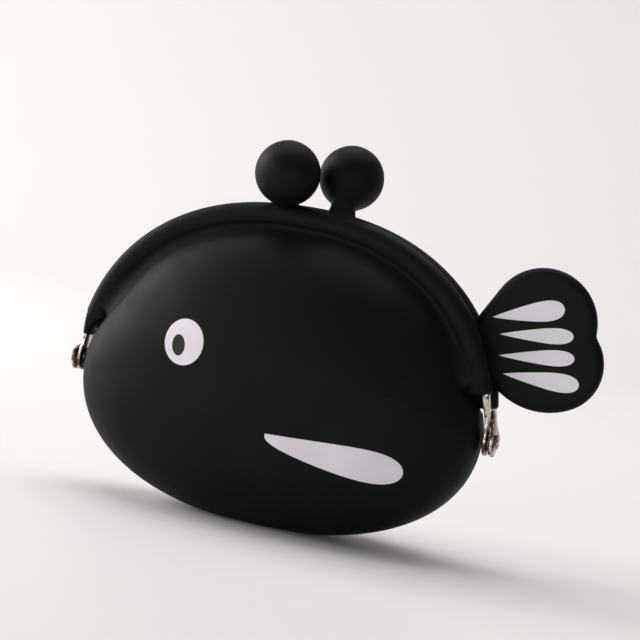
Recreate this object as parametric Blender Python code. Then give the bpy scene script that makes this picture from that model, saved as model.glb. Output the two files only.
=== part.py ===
# Silicone coin purse in the shape of a fish: a soft hollow pouch hangs between two hinged steel
# frames, which snap shut where two covered balls squeeze past each other.
#
# X runs along the hinge line, with the tail at +X. The front is at -Y. Z is up, and the origin is
# the middle of the flat base. Each object hangs on an empty on the hinge line, so a mesh's own
# coordinates count from the hinge line. All lengths are in metres.

import math

import bmesh
import bpy
from mathutils import Vector

# Outline of the purse from the front
hinge_height = 0.0265  # flat base to the rivets
rim_half_width = 0.0461  # outer edge of the rims at the hinge line
rim_rise = 0.0402  # outer edge of the rims above the hinge line
outline_power = 2.22  # superellipse exponent of every arch and of the belly's outline

# Rims: the silicone sleeves on the steel bars
sleeve_width = 0.0052  # across the arch
sleeve_depth = 0.0048  # front to back
sleeve_power = 2.2
mid_gap = 0.0004  # between the closed sleeves
front_sleeve_end = 0.0092  # height of the cut end over the hinge line
back_sleeve_end = 0.0062
sleeve_clearance = 0.0003  # round the steel bar, and to the pouch's lip and the tail
tip_end = 0.0052  # the front sleeve's nose end runs down to here as a thin tube on the bar
tip_wall = 0.0006

# Pouch
pouch_inset = 0.0025  # widest part of the pouch, inside the rims' outer edge
belly_half_depth = 0.0190
wall = 0.0018
base_cut = 0.0008  # how far the round bottom is cut flat
lip_half_gap = 0.0027  # half the mouth's width between the lips
lip_fillet = 0.0020
dome_power = 2.2
mouth_end = 0.0022  # height over the hinge line where the slit between the lips ends
mouth_run = 0.0090  # height over which the lips part to their full gap
edge_draw_share = 0.08  # sine of the angle over which the inner skin's edge draws in below the mouth
waist_top = 0.0165  # height over the hinge line where the belly has drawn in to the rims
side_bottom = -0.0045  # from here the pouch's sides flatten
side_top = 0.0056  # and from here up they pass inside the rims
side_round_share = 0.35

# Steel bars and their hinge ears
bar_width = 0.0013
bar_depth = 0.0024
bar_side_inset = 0.0018  # middle of the bar inside the rims' outer edge, at the hinge line
ear_radius = 0.0030
ear_thickness = 0.0008
ear_shoulder = 0.0034  # height where the ear has narrowed to the bar
pivot_gap = 0.00015  # between the pieces stacked on a rivet
hinge_clearance = 0.0010  # from the pouch to the rivet

# Rivets and spacer washers
rivet_radius = 0.0010
rivet_clearance = 0.0001
inner_head_radius = 0.0017
inner_head_thickness = 0.0005
outer_head_radius = 0.0019
outer_head_thickness = 0.0007
washer_radius = 0.0020
washer_thickness = 0.0004

# Kiss-lock clasp
ball_radius = 0.0054  # steel
cover_radius = 0.0068  # silicone over the steel
cover_clearance = 0.00015
ball_offset = 0.0055  # each ball sits this far to its own side of the middle
ball_lean = 0.0050  # and this far over the other frame
front_ball_rise = 0.0073  # over the top of the rims
back_ball_rise = 0.0065
stem_radius = 0.0010
stem_clearance = 0.00025
stem_reach = 0.0030  # how far the stem goes into the ball
neck_radius = 0.0021
neck_drop = 0.0006  # the neck starts to lean this far under the rim's outer edge
neck_root = 0.0016  # and starts inside the sleeve, this far lower

# Tail fin
tail_thickness = 0.0038
tail_edge_round = 0.0013
tail_root_top = 0.0220  # heights over the hinge line between which the tail leaves the rim
tail_root_bottom = 0.0130
upper_lobe_radius = 0.01125
upper_lobe_reach = 0.0057  # beyond the rims' half width
upper_lobe_z = 0.0256
lower_lobe_radius = 0.0097
lower_lobe_reach = 0.0100
lower_lobe_z = 0.0180
upper_lobe_start = math.radians(150)  # where the outline joins the upper lobe
lower_lobe_end = math.radians(-62)  # and leaves the lower one
sweep_radius = 0.0150  # of the lower edge, from there to the rim
sweep_end = math.radians(-139)

# White marks, inlaid flush
inlay_depth = 0.0007
inlay_clearance = 0.00015
eye_x = -0.0167
eye_z = 0.0090
eye_half_width = 0.0045
eye_half_height = 0.00475
pupil_x = -0.0178
pupil_z = 0.0082
pupil_half_width = 0.0015
pupil_half_height = 0.0022
eye_slope = math.radians(12.5)
fin_x = 0.0043
fin_z = -0.0057
fin_length = 0.0284
fin_slope = math.radians(-5.8)
fin_rise = 0.0043  # fullness over the line from tip to end
fin_sag = 0.0046  # fullness under it
fin_rise_power = 1
fin_sag_power = 0.33
fin_end_power = 6
stripe_length = 0.0156
stripe_half_width = 0.0019
stripe_reaches = [-0.0044, -0.0023, -0.0017, -0.0002]  # tips, beyond the rims' half width
stripe_heights = [0.0250, 0.0219, 0.0176, 0.0141]
stripe_slopes = [math.radians(16.8), math.radians(8.6), math.radians(8.1), math.radians(2.1)]
stripe_length_shares = [0.97, 0.98, 1.01, 1.02]
stripe_width_shares = [1.1, 0.85, 0.85, 1.0]
stripe_power = 0.85
stripe_end_power = 5
stripe_peak_share = 0.68  # what the stripe's formula gives where it is widest

overrun = 0.0020  # how far every cutter goes past what it cuts

# Facets
pouch_spokes = 48
pouch_rings = 8
arch_steps = 32
section_points = 16
round_points = 18
mark_points = 12
root_points = 5
sweep_points = 9
ear_angles = [math.radians(degrees) for degrees in (15, 35, 60, 90, 110)]
tail_edge_segments = 3
bevel_angle = math.radians(50)
sharp_angle = math.radians(40)
curved_mark_shares = [1.0, 0.55]
flat_mark_shares = [1.0]

# Materials
black_color = (0.012, 0.012, 0.013)
white_color = (0.75, 0.72, 0.77)
steel_color = (0.75, 0.72, 0.68)
silicone_roughness = 0.5
steel_roughness = 0.2

# Places that follow from the sizes above
pouch_half_width = rim_half_width - pouch_inset
front_ball_height = rim_rise + front_ball_rise
back_ball_height = rim_rise + back_ball_rise
upper_lobe_x = rim_half_width + upper_lobe_reach
lower_lobe_x = rim_half_width + lower_lobe_reach
belly_drop = hinge_height + base_cut
rim_middle = sleeve_width / 2
sleeve_y = (mid_gap + sleeve_depth) / 2
lip_inset = sleeve_width + sleeve_clearance
under_rim = rim_half_width - lip_inset
inner_head_x = pouch_half_width + hinge_clearance
inner_ear_x = inner_head_x + inner_head_thickness + pivot_gap
washer_x = inner_ear_x + ear_thickness + pivot_gap
outer_ear_x = washer_x + washer_thickness + pivot_gap
outer_head_x = outer_ear_x + ear_thickness + pivot_gap
rivet_end_x = outer_head_x + outer_head_thickness


def clear_scene():
    for obj in list(bpy.data.objects):
        bpy.data.objects.remove(obj, do_unlink=True)


def make_material(name, color, roughness, metallic):
    material = bpy.data.materials.new(name)
    material.use_nodes = True
    shader = material.node_tree.nodes["Principled BSDF"]
    shader.inputs["Base Color"].default_value = (*color, 1)
    shader.inputs["Roughness"].default_value = roughness
    shader.inputs["Metallic"].default_value = metallic
    material.diffuse_color = (*color, 1)
    return material


def make_empty(name):
    empty = bpy.data.objects.new(name, None)
    empty.location = (0, 0, hinge_height)
    bpy.context.collection.objects.link(empty)
    return empty


def make_object(name, mesh_data, material, parent):
    mesh = bpy.data.meshes.new(name)
    bmesh.ops.recalc_face_normals(mesh_data, faces=mesh_data.faces)
    mesh_data.to_mesh(mesh)
    mesh_data.free()
    mesh.shade_smooth()
    mesh.set_sharp_from_angle(angle=sharp_angle)
    obj = bpy.data.objects.new(name, mesh)
    bpy.context.collection.objects.link(obj)
    obj.parent = parent
    if material:
        obj.data.materials.append(material)
    return obj


def make_cutter(name, mesh_data, parent):
    cutter = make_object(name, mesh_data, None, parent)
    cutter.hide_render = True
    cutter.display_type = "WIRE"
    return cutter


def add_boolean(obj, other, operation):
    modifier = obj.modifiers.new(operation.lower(), "BOOLEAN")
    modifier.object = other
    modifier.operation = operation
    modifier.solver = "EXACT"


def smooth_step(value, low, high):
    share = min(max((value - low) / (high - low), 0), 1)
    return share * share * (3 - 2 * share)


def smooth_max(first, second, rounding):
    return (first + second + math.hypot(first - second, rounding)) / 2


def smooth_min(first, second, rounding):
    return (first + second - math.hypot(first - second, rounding)) / 2


def superellipse(angle, half_width, half_height, power):
    across = math.cos(angle)
    up = math.sin(angle)
    return (
        half_width * math.copysign(abs(across) ** (2 / power), across),
        half_height * math.copysign(abs(up) ** (2 / power), up),
    )


# Lofts and turned shapes


def loft(rings):
    """A closed skin through rings that have as many points each, with a flat cap at both ends."""
    mesh_data = bmesh.new()
    verts = [[mesh_data.verts.new(point) for point in ring] for ring in rings]
    count = len(verts[0])
    for lower, upper in zip(verts, verts[1:]):
        for k in range(count):
            following = (k + 1) % count
            mesh_data.faces.new((lower[k], lower[following], upper[following], upper[k]))
    mesh_data.faces.new(verts[0])
    mesh_data.faces.new(verts[-1])
    return mesh_data


def turned(profile, points):
    """A shape turned round the X axis, from (x, radius) pairs whose first and last radius is not 0."""
    rings = []
    for x, radius in profile:
        angles = [2 * math.pi * k / points for k in range(points)]
        rings.append([Vector((x, radius * math.cos(a), radius * math.sin(a))) for a in angles])
    return loft(rings)


def turned_ring(profile, points):
    """As turned, but the profile is a closed loop, so that the shape has a bore."""
    mesh_data = bmesh.new()
    verts = []
    for k in range(points):
        angle = 2 * math.pi * k / points
        place = [(x, r * math.cos(angle), r * math.sin(angle)) for x, r in profile]
        verts.append([mesh_data.verts.new(point) for point in place])
    for k in range(points):
        here = verts[k]
        there = verts[(k + 1) % points]
        for i in range(len(profile)):
            j = (i + 1) % len(profile)
            mesh_data.faces.new((here[i], here[j], there[j], there[i]))
    return mesh_data


def ball_mesh(radius):
    mesh_data = bmesh.new()
    bmesh.ops.create_uvsphere(
        mesh_data, u_segments=round_points, v_segments=round_points // 2, radius=radius
    )
    return mesh_data


def tube(places, radii):
    """A round tube through the places, each ring square to the route there."""
    rings = []
    for k, place in enumerate(places):
        ahead = places[min(k + 1, len(places) - 1)]
        behind = places[max(k - 1, 0)]
        along = (ahead - behind).normalized()
        side = Vector((1, 0, 0))
        up = along.cross(side).normalized()
        ring = []
        for i in range(section_points):
            angle = 2 * math.pi * i / section_points
            ring.append(place + radii[k] * (math.cos(angle) * side + math.sin(angle) * up))
        rings.append(ring)
    return loft(rings)


# Arches


def arch_height(x, inset):
    share = 1 - (abs(x) / (rim_half_width - inset)) ** outline_power
    return (rim_rise - inset) * share ** (1 / outline_power)


def arch_reach(height, inset):
    share = 1 - (height / (rim_rise - inset)) ** outline_power
    return (rim_half_width - inset) * share ** (1 / outline_power)


def arch_angle(height, inset):
    """The superellipse angle at which the inset arch is this high over the hinge line."""
    return math.asin((height / (rim_rise - inset)) ** (outline_power / 2))


def arch_stations(first_height, side_inset, steps):
    """Places on an arch from the tail side over to the nose side, with their outward directions.

    At its top every arch runs in the middle of the rim."""
    half_width = rim_half_width - side_inset
    rise = rim_rise - rim_middle
    start = arch_angle(first_height, rim_middle)
    stations = []
    for k in range(steps + 1):
        angle = start + (math.pi - 2 * start) * k / steps
        x, z = superellipse(angle, half_width, rise, outline_power)
        slope_x = math.copysign((abs(x) / half_width) ** (outline_power - 1), x) / half_width
        slope_z = (z / rise) ** (outline_power - 1) / rise
        outward = Vector((slope_x, 0, slope_z)).normalized()
        stations.append((Vector((x, 0, z)), outward))
    return stations


def sleeve_rings(side, first_height, growth):
    """Rounded sections along a rim; growth makes each section that much larger all round."""
    rings = []
    for place, outward in arch_stations(first_height, rim_middle, arch_steps):
        ring = []
        for k in range(section_points):
            angle = 2 * math.pi * (k + 0.5) / section_points
            out, depth = superellipse(
                angle, sleeve_width / 2 + growth, sleeve_depth / 2 + growth, sleeve_power
            )
            ring.append(place + out * outward + Vector((0, side * sleeve_y + depth, 0)))
        rings.append(ring)
    return rings


def box_ring(place, outward, half_width, half_depth):
    deep = Vector((0, half_depth, 0))
    wide = half_width * outward
    return [place - wide - deep, place + wide - deep, place + wide + deep, place - wide + deep]


def ear_stations(side, ear_x):
    """Sections of the ear from its round tip up to its shoulder, as (x, y, z, half width, half depth)."""
    stations = []
    for angle in ear_angles:
        height = -ear_radius * math.cos(angle)
        half = ear_radius * math.sin(angle)
        stations.append((ear_x, 0, height, ear_thickness / 2, half))
    stations.append((ear_x, side * sleeve_y, ear_shoulder, bar_width / 2, bar_depth / 2))
    return stations


def nose_run(side, ear_x, top_height):
    """The bar's straight run over the nose's ear: its top, its direction down, and its outer side."""
    top = arch_stations(top_height, bar_side_inset, 1)[-1][0] + Vector((0, side * sleeve_y, 0))
    along = (Vector((-ear_x, top.y, ear_shoulder)) - top).normalized()
    return top, along, Vector((0, 1, 0)).cross(along)


def bar_rings(side, ear_x, exposed_top):
    """Sections of one steel bar from the tail side's ear over the arch to the nose side's ear."""
    rings = []
    flat = Vector((1, 0, 0))
    ears = ear_stations(side, ear_x)
    for x, y, z, half_width, half_depth in ears:
        rings.append(box_ring(Vector((x, y, z)), flat, half_width, half_depth))
    for place, outward in arch_stations(exposed_top, bar_side_inset, arch_steps):
        middle = place + Vector((0, side * sleeve_y, 0))
        rings.append(box_ring(middle, outward, bar_width / 2, bar_depth / 2))
    for x, y, z, half_width, half_depth in reversed(ears):
        rings.append(box_ring(Vector((-x, y, z)), -flat, half_width, half_depth))
    return rings


# Pouch


def belly_half_width(z, inset):
    """Half width of the belly's outline at this height."""
    share = smooth_step(z, 0, waist_top)
    return pouch_half_width + (under_rim - pouch_half_width) * share - inset


def side_half_width(z, inset):
    """Half width that the flattened sides leave, between the steel ears and inside the rims."""
    share = smooth_step(z, side_bottom, side_top)
    return pouch_half_width + (under_rim - pouch_half_width) * share - inset


def reach(z):
    """How far the outline reaches up or down from the hinge line."""
    return rim_rise - lip_inset if z > 0 else belly_drop


def skin_depth(share, z, inset):
    """Distance from the middle plane at this share of the way out: a dome that meets the lip in a fillet."""
    dome = (belly_half_depth - inset) * (1 - min(share, 1) ** dome_power) ** (1 / dome_power)
    mouth_share = smooth_step(z, mouth_end, mouth_end + mouth_run)
    lip = (lip_half_gap + wall - inset) * mouth_share
    return smooth_max(dome, lip, lip_fillet * mouth_share)


def spoke_place(ring_share, angle, inset):
    """A place in the outline: the inner skin's edge draws in below the mouth, but not along the lips."""
    edge_inset = inset * (1 - smooth_step(math.sin(angle), -edge_draw_share, edge_draw_share))
    _, z = superellipse(angle, 1, ring_share * (reach(math.sin(angle)) - edge_inset), outline_power)
    belly = belly_half_width(z, edge_inset)
    side = side_half_width(z, edge_inset)
    half_width = smooth_min(ring_share * belly, side, side_round_share * max(belly - side, 0))
    x, _ = superellipse(angle, half_width, 1, outline_power)
    return x, z


def pouch_mesh():
    """Outer and inner skin of both halves on rings and spokes, joined along the lips of the mouth."""
    mesh_data = bmesh.new()
    spokes = [2 * math.pi * (k + 0.5) / pouch_spokes for k in range(pouch_spokes)]
    skins = {}
    for inset in (0, wall):
        edge = {}
        for side in (-1, 1):
            rings = []
            for i in range(1, pouch_rings + 1):
                ring_share = math.sin(math.pi / 2 * i / pouch_rings)
                ring = []
                for k, angle in enumerate(spokes):
                    x, z = spoke_place(ring_share, angle, inset)
                    shared = i == pouch_rings and z < mouth_end
                    if shared and k in edge:
                        ring.append(edge[k])
                        continue
                    depth = 0 if shared else skin_depth(ring_share, z, inset)
                    vert = mesh_data.verts.new((x, side * depth, z))
                    if shared:
                        edge[k] = vert
                    ring.append(vert)
                rings.append(ring)
            centre = mesh_data.verts.new((0, side * skin_depth(0, 0, inset), 0))
            skins[inset, side] = rings
            for k in range(pouch_spokes):
                following = (k + 1) % pouch_spokes
                mesh_data.faces.new((centre, rings[0][k], rings[0][following]))
                for inner, outer in zip(rings, rings[1:]):
                    mesh_data.faces.new((inner[k], outer[k], outer[following], inner[following]))
    for side in (-1, 1):
        outside = skins[0, side][-1]
        inside = skins[wall, side][-1]
        for k in range(pouch_spokes):
            following = (k + 1) % pouch_spokes
            apart = [skins[0, -1][-1][j] is not skins[0, 1][-1][j] for j in (k, following)]
            if any(apart):
                mesh_data.faces.new((outside[k], outside[following], inside[following], inside[k]))
    return mesh_data


def base_cutter_mesh():
    mesh_data = bmesh.new()
    bmesh.ops.create_cube(mesh_data, size=1)
    size = Vector((pouch_half_width, belly_half_depth, overrun)) * 2
    bmesh.ops.scale(mesh_data, vec=size, verts=mesh_data.verts)
    bmesh.ops.translate(mesh_data, vec=(0, 0, -hinge_height - overrun), verts=mesh_data.verts)
    return mesh_data


# White marks


def drop_outline(length, rise, sag, rise_power, sag_power, end_power):
    """A drop from a pointed tip at the origin to a round end at +X, listed round its edge."""
    shares = [(1 - math.cos(math.pi * k / mark_points)) / 2 for k in range(mark_points + 1)]
    upper = [(length * t, rise * t**rise_power * math.sqrt(1 - t**end_power)) for t in shares]
    lower = [(length * t, -sag * t**sag_power * math.sqrt(1 - t**end_power)) for t in shares]
    return upper + lower[-2:0:-1]


def ellipse_outline(half_width, half_height):
    count = 2 * mark_points
    return [superellipse(2 * math.pi * k / count, half_width, half_height, 2) for k in range(count)]


def placed(outline, x, z, slope):
    turn = [(math.cos(slope) * u - math.sin(slope) * v, math.sin(slope) * u + math.cos(slope) * v)
            for u, v in outline]
    return [(x + u, z + v) for u, v in turn]


def grown(outline, growth):
    """The outline moved outward by a constant distance."""
    count = len(outline)
    area = sum(
        outline[k][0] * outline[(k + 1) % count][1] - outline[(k + 1) % count][0] * outline[k][1]
        for k in range(count)
    )
    points = []
    for k in range(count):
        ahead = outline[(k + 1) % count]
        behind = outline[k - 1]
        along = Vector((ahead[0] - behind[0], ahead[1] - behind[1])).normalized()
        turn = math.copysign(1, area)
        points.append((outline[k][0] + turn * along.y * growth, outline[k][1] - turn * along.x * growth))
    return points


def draped(outline, side, outer_lift, inner_depth, depth_at, ring_shares):
    """A patch over the outline that follows a skin, from outer_lift over it to inner_depth under it."""
    mesh_data = bmesh.new()
    centre_x = sum(x for x, _ in outline) / len(outline)
    centre_z = sum(z for _, z in outline) / len(outline)
    count = len(outline)
    edges = []
    for lift in (outer_lift, -inner_depth):
        rings = []
        for share in ring_shares:
            ring = []
            for x, z in outline:
                u = centre_x + share * (x - centre_x)
                w = centre_z + share * (z - centre_z)
                ring.append(mesh_data.verts.new((u, side * (depth_at(u, w) + lift), w)))
            rings.append(ring)
        middle_depth = side * (depth_at(centre_x, centre_z) + lift)
        middle = mesh_data.verts.new((centre_x, middle_depth, centre_z))
        for k in range(count):
            following = (k + 1) % count
            mesh_data.faces.new((middle, rings[-1][k], rings[-1][following]))
            for outer, inner in zip(rings, rings[1:]):
                mesh_data.faces.new((outer[k], outer[following], inner[following], inner[k]))
        edges.append(rings[0])
    for k in range(count):
        following = (k + 1) % count
        mesh_data.faces.new((edges[0][k], edges[0][following], edges[1][following], edges[1][k]))
    return mesh_data


def pouch_depth(x, z):
    """Depth of the belly's outer skin, which its marks follow."""
    across = abs(x) / belly_half_width(z, 0)
    up = abs(z) / reach(z)
    share = (across**outline_power + up**outline_power) ** (1 / outline_power)
    return skin_depth(share, z, 0)


pouch_skin = (pouch_depth, curved_mark_shares)


def add_inlay(name, outline, side, skin, host, material, parent):
    """A white piece set flush into a recess of its host."""
    deep = inlay_depth + inlay_clearance
    recess = draped(grown(outline, inlay_clearance), side, overrun, deep, *skin)
    add_boolean(host, make_cutter(name + "_recess", recess, parent), "DIFFERENCE")
    return make_object(name, draped(outline, side, 0, inlay_depth, *skin), material, parent)


def fin_outline():
    outline = drop_outline(
        fin_length, fin_rise, fin_sag, fin_rise_power, fin_sag_power, fin_end_power
    )
    return placed(outline, fin_x, fin_z, fin_slope)


def stripe_outline(index):
    half = stripe_half_width * stripe_width_shares[index] / stripe_peak_share
    length = stripe_length * stripe_length_shares[index]
    outline = drop_outline(length, half, half, stripe_power, stripe_power, stripe_end_power)
    tip_x = rim_half_width + stripe_reaches[index]
    return placed(outline, tip_x, stripe_heights[index], stripe_slopes[index])


def add_pouch_marks(pouch, white, black, parent):
    eye = ellipse_outline(eye_half_width, eye_half_height)
    eye = placed(eye, eye_x, eye_z, eye_slope)
    pupil = ellipse_outline(pupil_half_width, pupil_half_height)
    pupil = placed(pupil, pupil_x, pupil_z, eye_slope)
    for face, side in (("front", -1), ("back", 1)):
        eye_white = add_inlay(face + "_eye_white", eye, side, pouch_skin, pouch, white, parent)
        hole = draped(grown(pupil, inlay_clearance), side, overrun, overrun, *pouch_skin)
        add_boolean(eye_white, make_cutter(face + "_pupil_hole", hole, parent), "DIFFERENCE")
        make_object(
            face + "_pupil", draped(pupil, side, 0, inlay_depth, *pouch_skin), black, parent
        )
        add_inlay(
            face + "_pectoral_fin", fin_outline(), side, pouch_skin, pouch, white, parent
        )


# Tail


def tail_outline():
    """Two round lobes with a notch between them, a straight edge down to the rim and a swept one."""
    gap = math.hypot(lower_lobe_x - upper_lobe_x, upper_lobe_z - lower_lobe_z)
    heading = math.atan2(lower_lobe_z - upper_lobe_z, lower_lobe_x - upper_lobe_x)
    upper_turn = (upper_lobe_radius**2 + gap**2 - lower_lobe_radius**2) / (2 * gap)
    lower_turn = gap - upper_turn
    upper_notch = heading + math.acos(upper_turn / upper_lobe_radius)
    lower_notch = heading + math.pi - math.acos(lower_turn / lower_lobe_radius)
    points = []
    for k in range(root_points):
        height = tail_root_bottom + (tail_root_top - tail_root_bottom) * k / (root_points - 1)
        points.append((arch_reach(height, rim_middle), height))
    for k in range(round_points):
        angle = upper_lobe_start + (upper_notch - upper_lobe_start) * k / (round_points - 1)
        points.append((upper_lobe_x + upper_lobe_radius * math.cos(angle),
                       upper_lobe_z + upper_lobe_radius * math.sin(angle)))
    for k in range(1, round_points):
        angle = lower_notch + (lower_lobe_end - lower_notch) * k / (round_points - 1)
        points.append((lower_lobe_x + lower_lobe_radius * math.cos(angle),
                       lower_lobe_z + lower_lobe_radius * math.sin(angle)))
    sweep_x = lower_lobe_x + (lower_lobe_radius - sweep_radius) * math.cos(lower_lobe_end)
    sweep_z = lower_lobe_z + (lower_lobe_radius - sweep_radius) * math.sin(lower_lobe_end)
    for k in range(1, sweep_points + 1):
        angle = lower_lobe_end + (sweep_end - lower_lobe_end) * k / sweep_points
        x = sweep_x + sweep_radius * math.cos(angle)
        z = sweep_z + sweep_radius * math.sin(angle)
        if x > arch_reach(z, 0):  # from the rim's outer edge on, the tail runs on into the rim
            points.append((x, z))
    return points


def tail_y():
    return mid_gap + tail_thickness / 2


def tail_depth(_x, _z):
    return tail_thickness / 2


tail_skin = (tail_depth, flat_mark_shares)


def add_tail(black, white, parent):
    mesh_data = bmesh.new()
    front = -tail_thickness / 2
    face = mesh_data.faces.new([mesh_data.verts.new((x, front, z)) for x, z in tail_outline()])
    made = bmesh.ops.extrude_face_region(mesh_data, geom=[face])
    moved = [item for item in made["geom"] if isinstance(item, bmesh.types.BMVert)]
    bmesh.ops.translate(mesh_data, vec=(0, tail_thickness, 0), verts=moved)
    middle = bpy.data.objects.new("tail_middle", None)
    middle.parent = parent
    middle.location = (0, tail_y(), 0)
    bpy.context.collection.objects.link(middle)
    tail = make_object("tail_fin", mesh_data, black, middle)
    bevel = tail.modifiers.new("rounded edges", "BEVEL")
    bevel.width = tail_edge_round
    bevel.segments = tail_edge_segments
    bevel.limit_method = "ANGLE"
    bevel.angle_limit = bevel_angle
    rim = make_cutter(
        "tail_root_cutter", loft(sleeve_rings(1, back_sleeve_end, sleeve_clearance)), parent
    )
    add_boolean(tail, rim, "DIFFERENCE")
    for index in range(len(stripe_reaches)):
        for face_name, side in (("front", -1), ("back", 1)):
            name = f"{face_name}_tail_stripe_{index + 1}"
            add_inlay(name, stripe_outline(index), side, tail_skin, tail, white, middle)


# Clasp


def stem_route(side):
    """Foot on the bar, knee in the rim and end in the ball of one frame's clasp."""
    x = -side * ball_offset
    centre = Vector((x, -side * ball_lean, front_ball_height if side < 0 else back_ball_height))
    knee = Vector((x, side * sleeve_y, arch_height(x, 0) - neck_drop))
    foot = Vector((x, side * sleeve_y, arch_height(x, rim_middle) + bar_width / 2 + sleeve_clearance))
    lean = (centre - knee).normalized()
    end = centre - lean * (ball_radius - stem_reach)
    return foot, knee, end, centre


def add_clasp(side, name, sleeve, steel, black, parent):
    foot, knee, end, centre = stem_route(side)
    lean = (centre - knee).normalized()
    rise = Vector((0, 0, 1))
    stem_places = [foot, knee - rise * stem_radius, knee + lean * stem_radius, end]
    make_object(
        name + "_clasp_stem", tube(stem_places, [stem_radius] * len(stem_places)), steel, parent
    )
    bore_places = [foot - rise * overrun, *stem_places[1:3], end + lean * stem_clearance]
    bore_radius = stem_radius + stem_clearance
    bore = make_cutter(
        name + "_stem_bore", tube(bore_places, [bore_radius] * len(bore_places)), parent
    )
    neck_places = [knee - rise * neck_root, knee, centre]
    neck = make_cutter(name + "_neck", tube(neck_places, [neck_radius] * 3), parent)
    seat = make_cutter(name + "_cover_seat", ball_mesh(cover_radius + sleeve_clearance), parent)
    seat.location = centre
    add_boolean(sleeve, neck, "UNION")
    add_boolean(sleeve, seat, "DIFFERENCE")
    add_boolean(sleeve, bore, "DIFFERENCE")
    ball = make_object(name + "_clasp_ball", ball_mesh(ball_radius), steel, parent)
    ball.location = centre
    add_boolean(ball, bore, "DIFFERENCE")
    cover = make_object(name + "_ball_cover", ball_mesh(cover_radius), black, parent)
    cover.location = centre
    hollow = make_cutter(name + "_cover_hollow", ball_mesh(ball_radius + cover_clearance), parent)
    hollow.location = centre
    add_boolean(cover, hollow, "DIFFERENCE")
    add_boolean(cover, bore, "DIFFERENCE")


# Frames


def add_frame(side, name, ear_x, sleeve_end, steel, black, parent):
    """One steel bar with its ears, its silicone sleeve and its half of the clasp."""
    ear_middle = ear_x + ear_thickness / 2
    bar = make_object(
        name + "_frame_bar", loft(bar_rings(side, ear_middle, sleeve_end)), steel, parent
    )
    hole_radius = rivet_radius + rivet_clearance
    hole_end_x = rivet_end_x + overrun
    hole = turned([(-hole_end_x, hole_radius), (hole_end_x, hole_radius)], round_points)
    add_boolean(bar, make_cutter(name + "_rivet_holes", hole, parent), "DIFFERENCE")
    sleeve = make_object(
        name + "_sleeve", loft(sleeve_rings(side, sleeve_end, 0)), black, parent
    )
    channel = []
    for place, outward in arch_stations(sleeve_end - overrun, bar_side_inset, arch_steps):
        middle = place + Vector((0, side * sleeve_y, 0))
        half_width = bar_width / 2 + sleeve_clearance
        channel.append(box_ring(middle, outward, half_width, bar_depth / 2 + sleeve_clearance))
    add_clasp(side, name, sleeve, steel, black, parent)
    channel_cutter = make_cutter(name + "_bar_channel", loft(channel), parent)
    add_boolean(sleeve, channel_cutter, "DIFFERENCE")
    return sleeve


def add_sleeve_tip(sleeve, side, ear_x, sleeve_end, parent):
    """The thin tube in which the sleeve goes on along the bar at the nose."""
    top, along, out = nose_run(side, ear_x + ear_thickness / 2, sleeve_end)
    half_width = bar_width / 2 + sleeve_clearance
    half_depth = bar_depth / 2 + sleeve_clearance
    low = top + along * (tip_end - sleeve_end) / along.z
    rings = []
    for place in (top - along * tip_wall, low):
        angles = [2 * math.pi * (k + 0.5) / section_points for k in range(section_points)]
        section = [
            superellipse(angle, half_width + tip_wall, half_depth + tip_wall, sleeve_power)
            for angle in angles
        ]
        rings.append([place + wide * out + Vector((0, deep, 0)) for wide, deep in section])
    add_boolean(sleeve, make_cutter("sleeve_tip", loft(rings), parent), "UNION")
    ends = (top - along * tip_wall * 2, low + along * overrun)
    bore = loft([box_ring(place, out, half_width, half_depth) for place in ends])
    add_boolean(sleeve, make_cutter("sleeve_tip_bore", bore, parent), "DIFFERENCE")


def add_hinges(steel, parent):
    """A rivet and a spacer washer on each side."""
    shank_start = inner_head_x + inner_head_thickness
    profile = [
        (inner_head_x, inner_head_radius),
        (shank_start, inner_head_radius),
        (shank_start, rivet_radius),
        (outer_head_x, rivet_radius),
        (outer_head_x, outer_head_radius),
        (outer_head_x + outer_head_thickness / 2, outer_head_radius),
        (rivet_end_x, outer_head_radius / 2),
    ]
    bore = rivet_radius + rivet_clearance
    washer = [
        (washer_x, bore),
        (washer_x, washer_radius),
        (washer_x + washer_thickness, washer_radius),
        (washer_x + washer_thickness, bore),
    ]
    for name, hand in (("nose", -1), ("tail", 1)):
        turned_profile = [(hand * x, radius) for x, radius in profile]
        make_object(name + "_rivet", turned(turned_profile, round_points), steel, parent)
        washer_loop = [(hand * x, radius) for x, radius in washer]
        make_object(name + "_washer", turned_ring(washer_loop, round_points), steel, parent)


def build():
    clear_scene()
    black = make_material("black silicone", black_color, silicone_roughness, 0)
    white = make_material("white silicone", white_color, silicone_roughness, 0)
    steel = make_material("nickel-plated steel", steel_color, steel_roughness, 1)
    pouch_origin = make_empty("pouch_origin")
    front_axis = make_empty("front_frame_axis")
    back_axis = make_empty("back_frame_axis")
    pouch = make_object("pouch", pouch_mesh(), black, pouch_origin)
    add_boolean(pouch, make_cutter("base_cutter", base_cutter_mesh(), pouch_origin), "DIFFERENCE")
    add_pouch_marks(pouch, white, black, pouch_origin)
    front_sleeve = add_frame(-1, "front", inner_ear_x, front_sleeve_end, steel, black, front_axis)
    add_sleeve_tip(front_sleeve, -1, inner_ear_x, front_sleeve_end, front_axis)
    add_frame(1, "back", outer_ear_x, back_sleeve_end, steel, black, back_axis)
    add_tail(black, white, back_axis)
    add_hinges(steel, back_axis)


build()
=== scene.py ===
import math

import bpy
import numpy as np
from mathutils import Matrix, Vector


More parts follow.
